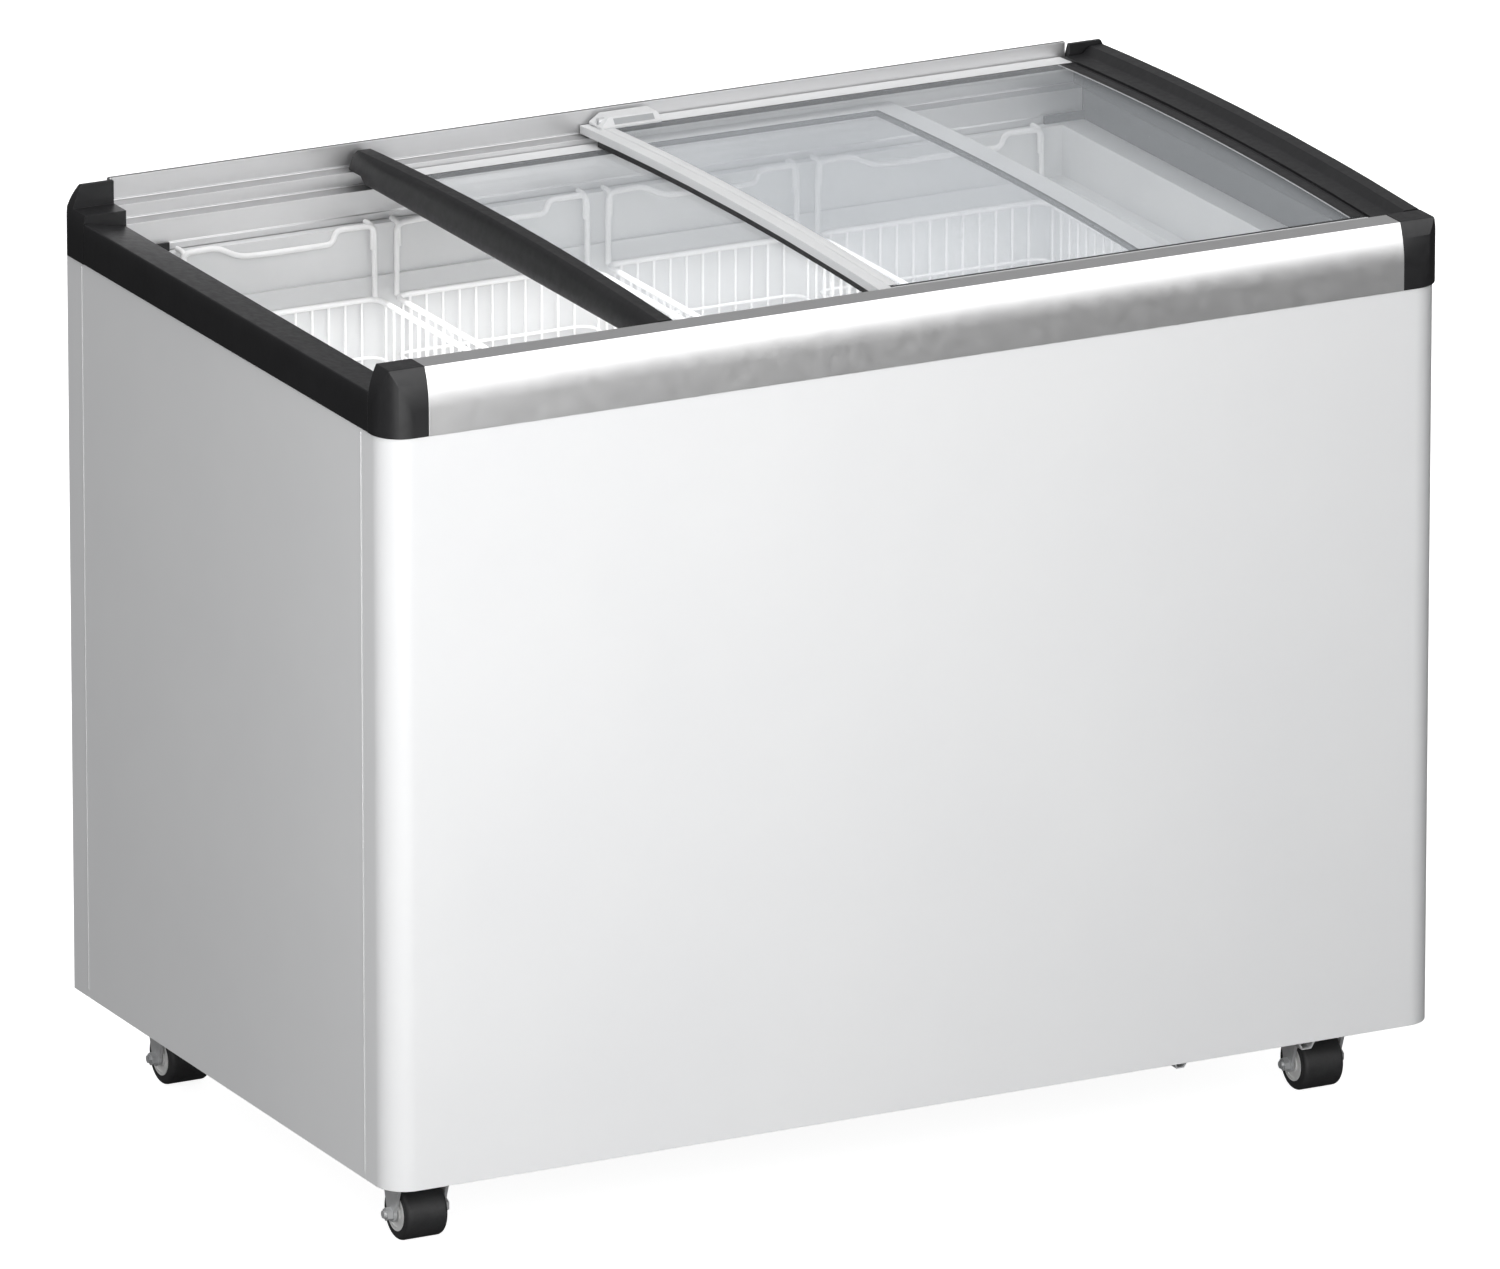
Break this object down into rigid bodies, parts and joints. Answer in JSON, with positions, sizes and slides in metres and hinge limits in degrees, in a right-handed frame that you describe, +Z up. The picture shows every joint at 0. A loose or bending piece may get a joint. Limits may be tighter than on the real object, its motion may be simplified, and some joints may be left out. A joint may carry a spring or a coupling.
{
  "type": "chest freezer",
  "caption": "Glass-top chest freezer on castors, with sliding bowed lids over hanging wire baskets and a rear machine bay.",
  "frame": {"origin": "on the floor, under the centre of the overall box", "axes": "+Z up, front face towards -Y, lids slide along X"},
  "size_m": [1.044, 0.664, 0.8293],
  "materials": {
    "white_paint": "satin powder coat",
    "zinc_steel": "zinc plated",
    "foam": "rigid foam",
    "liner": "smooth",
    "aluminium_tube": "mill",
    "satin_rail": "satin brushed",
    "black_plastic": "fine texture",
    "black_paint": "gloss",
    "rubber": "matt",
    "copper": "copper tube",
    "grey_plastic": "fine texture",
    "light_plastic": "satin",
    "hub_plastic": "satin",
    "tyre": "matt",
    "lid_glass": "clear toughened",
    "coated_wire": "gloss coating"
  },
  "bodies": {
    "cabinet": {"front_panel": "white_paint", "left_side_panel": "white_paint", "right_side_panel": "white_paint", "rear_panel": "white_paint", "base_pan": "zinc_steel", "insulation_foam": "foam", "inner_liner": "liner", "evaporator_coil": "aluminium_tube", "front_rail": "satin_rail", "rear_rail": "satin_rail", "left_side_beam": "black_plastic", "right_side_beam": "black_plastic", "front_left_cap": "black_plastic", "front_right_cap": "black_plastic", "rear_left_cap": "black_plastic", "rear_right_cap": "black_plastic", "compressor": "black_paint", "compressor_grommets": "rubber", "relay_cover": "black_plastic", "condenser": "aluminium_tube", "fan_shroud": "black_plastic", "fan_motor": "zinc_steel", "filter_drier": "copper", "refrigerant_pipes": "copper", "rear_grille": "grey_plastic", "thermostat_box": "grey_plastic", "power_inlet": "black_plastic", "drain_tube": "grey_plastic", "wall_spacers": "black_plastic", "castor_forks": "zinc_steel", "castor_axles": "zinc_steel", "castor_bolts": "zinc_steel"},
    "lower_lid": {"lower_lid_glass": "lid_glass", "lower_lid_handle": "black_plastic", "lower_lid_rails": "light_plastic", "lower_lid_end_rail": "light_plastic", "lower_lid_seals": "rubber"},
    "upper_lid": {"upper_lid_glass": "lid_glass", "upper_lid_handle": "black_plastic", "upper_lid_rails": "light_plastic", "upper_lid_end_rail": "light_plastic", "upper_lid_corners": "light_plastic", "upper_lid_seals": "rubber", "lock_housing": "light_plastic"},
    "lock_barrel": {"lock_cylinder": "zinc_steel"},
    "fan": {"fan_rotor": "black_plastic"},
    "thermostat_dial": {"thermostat_knob": "black_plastic"},
    "drain_stopper": {"drain_plug": "rubber"},
    "wheel_front_left": {"hub_front_left": "hub_plastic", "tyre_front_left": "tyre"},
    "wheel_front_right": {"hub_front_right": "hub_plastic", "tyre_front_right": "tyre"},
    "wheel_rear_left": {"hub_rear_left": "hub_plastic", "tyre_rear_left": "tyre"},
    "wheel_rear_right": {"hub_rear_right": "hub_plastic", "tyre_rear_right": "tyre"},
    "basket_1": {"basket_1": "coated_wire"},
    "basket_2": {"basket_2": "coated_wire"},
    "basket_3": {"basket_3": "coated_wire"},
    "basket_4": {"basket_4": "coated_wire"}
  },
  "joints": [
    {"name": "lower_lid_slide", "type": "slide", "parent": "cabinet", "child": "lower_lid", "axis": [1, 0, 0], "range_m": [-0.272, 0.18]},
    {"name": "upper_lid_slide", "type": "slide", "parent": "cabinet", "child": "upper_lid", "axis": [1, 0, 0], "range_m": [-0.18, 0]},
    {"name": "lock_barrel_turn", "type": "hinge", "parent": "upper_lid", "child": "lock_barrel", "pos_m": [-0.002, 0.288, 0.8183], "axis": [-1, 0, 0], "range_deg": [0, 90]},
    {"name": "fan_spin", "type": "hinge", "parent": "cabinet", "child": "fan", "pos_m": [0.392, -0.134, 0.223], "axis": [0, 1, 0], "continuous": true},
    {"name": "thermostat_dial_turn", "type": "hinge", "parent": "cabinet", "child": "thermostat_dial", "pos_m": [0.33, 0.313, 0.309], "axis": [0, 1, 0], "range_deg": [-135, 135]},
    {"name": "drain_stopper_pull", "type": "slide", "parent": "cabinet", "child": "drain_stopper", "axis": [0, 0, 1], "range_m": [0, 0.03]},
    {"name": "wheel_front_left_roll", "type": "hinge", "parent": "cabinet", "child": "wheel_front_left", "pos_m": [-0.4545, -0.248, 0.025], "axis": [1, 0, 0], "continuous": true},
    {"name": "wheel_front_right_roll", "type": "hinge", "parent": "cabinet", "child": "wheel_front_right", "pos_m": [0.4392, -0.248, 0.025], "axis": [1, 0, 0], "continuous": true},
    {"name": "wheel_rear_left_roll", "type": "hinge", "parent": "cabinet", "child": "wheel_rear_left", "pos_m": [-0.4545, 0.228, 0.025], "axis": [1, 0, 0], "continuous": true},
    {"name": "wheel_rear_right_roll", "type": "hinge", "parent": "cabinet", "child": "wheel_rear_right", "pos_m": [0.4392, 0.228, 0.025], "axis": [1, 0, 0], "continuous": true},
    {"name": "basket_1_lift", "type": "slide", "parent": "cabinet", "child": "basket_1", "axis": [0, 0, 1], "range_m": [0, 0.015]},
    {"name": "basket_2_lift", "type": "slide", "parent": "cabinet", "child": "basket_2", "axis": [0, 0, 1], "range_m": [0, 0.015]},
    {"name": "basket_3_lift", "type": "slide", "parent": "cabinet", "child": "basket_3", "axis": [0, 0, 1], "range_m": [0, 0.015]},
    {"name": "basket_4_lift", "type": "slide", "parent": "cabinet", "child": "basket_4", "axis": [0, 0, 1], "range_m": [0, 0.015]}
  ]
}
